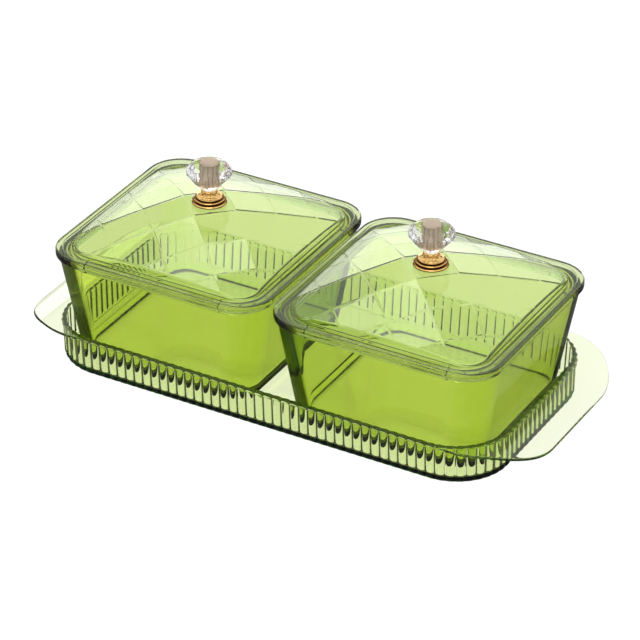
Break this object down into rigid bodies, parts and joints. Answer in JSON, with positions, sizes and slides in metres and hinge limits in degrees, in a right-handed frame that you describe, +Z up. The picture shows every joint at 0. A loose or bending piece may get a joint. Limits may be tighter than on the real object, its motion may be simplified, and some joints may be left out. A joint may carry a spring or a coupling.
{
  "type": "chip and dip server",
  "caption": "Long fluted tray with two square bowls under faceted lids, each lid with a crystal knob on a stepped metal base.",
  "frame": {"origin": "centre of the tray's flat underside, where the server stands", "axes": "+X along the tray, from the left bowl to the right one; +Z up; +Y from the front to the back"},
  "size_m": [0.38, 0.17, 0.1337],
  "materials": {
    "tray_plastic": "clear, very pale green, polished",
    "bowl_plastic": "clear yellow-green, polished",
    "lid_plastic": "clear light green, polished facets",
    "gold": "polished gold plating",
    "crystal": "colourless, cut and polished",
    "screw_metal": "plain zinc",
    "washer_plastic": "translucent natural"
  },
  "bodies": {
    "tray": {"tray": "tray_plastic"},
    "bowl_left": {"bowl_left": "bowl_plastic"},
    "lid_left": {"lid_left": "lid_plastic", "knob_base_left": "gold", "knob_crystal_left": "crystal", "knob_screw_left": "screw_metal", "knob_washer_left": "washer_plastic"},
    "bowl_right": {"bowl_right": "bowl_plastic"},
    "lid_right": {"lid_right": "lid_plastic", "knob_base_right": "gold", "knob_crystal_right": "crystal", "knob_screw_right": "screw_metal", "knob_washer_right": "washer_plastic"}
  },
  "joints": [
    {"name": "bowl_left_lift", "type": "slide", "parent": "tray", "child": "bowl_left", "axis": [0, 0, 1], "range_m": [0, 0.12]},
    {"name": "lid_left_lift", "type": "slide", "parent": "bowl_left", "child": "lid_left", "axis": [0, 0, 1], "range_m": [0, 0.1]},
    {"name": "bowl_right_lift", "type": "slide", "parent": "tray", "child": "bowl_right", "axis": [0, 0, 1], "range_m": [0, 0.12]},
    {"name": "lid_right_lift", "type": "slide", "parent": "bowl_right", "child": "lid_right", "axis": [0, 0, 1], "range_m": [0, 0.1]}
  ]
}
